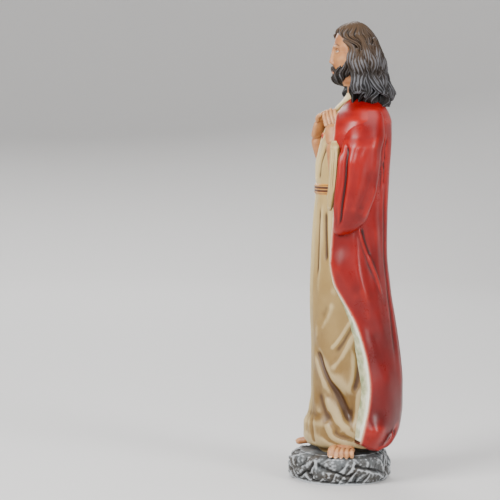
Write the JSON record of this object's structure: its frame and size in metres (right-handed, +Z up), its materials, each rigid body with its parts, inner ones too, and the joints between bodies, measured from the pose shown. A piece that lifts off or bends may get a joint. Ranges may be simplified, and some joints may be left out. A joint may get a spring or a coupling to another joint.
{
  "type": "devotional statuette",
  "caption": "Painted cast statuette of a standing robed, bearded figure with both hands at the chest, in an open red cloak over a cream robe, on a low rock base.",
  "frame": {"origin": "on the underside, at the middle of the rock seen from above", "axes": "+Z up, the figure faces -Y, its left hand is toward +X"},
  "size_m": [0.0876, 0.0742, 0.3],
  "materials": {
    "cloak_paint": "satin red paint on cast resin",
    "robe_paint": "cream paint with a brown wash in the folds",
    "skin_paint": "flesh coloured paint",
    "hair_paint": "dark brown paint with grey on the ridges",
    "rock_paint": "dark grey paint with pale grey on the ridges",
    "belt_paint": "brown paint with gold lines"
  },
  "bodies": {
    "root": {"statue": "cloak_paint"}
  },
  "joints": []
}
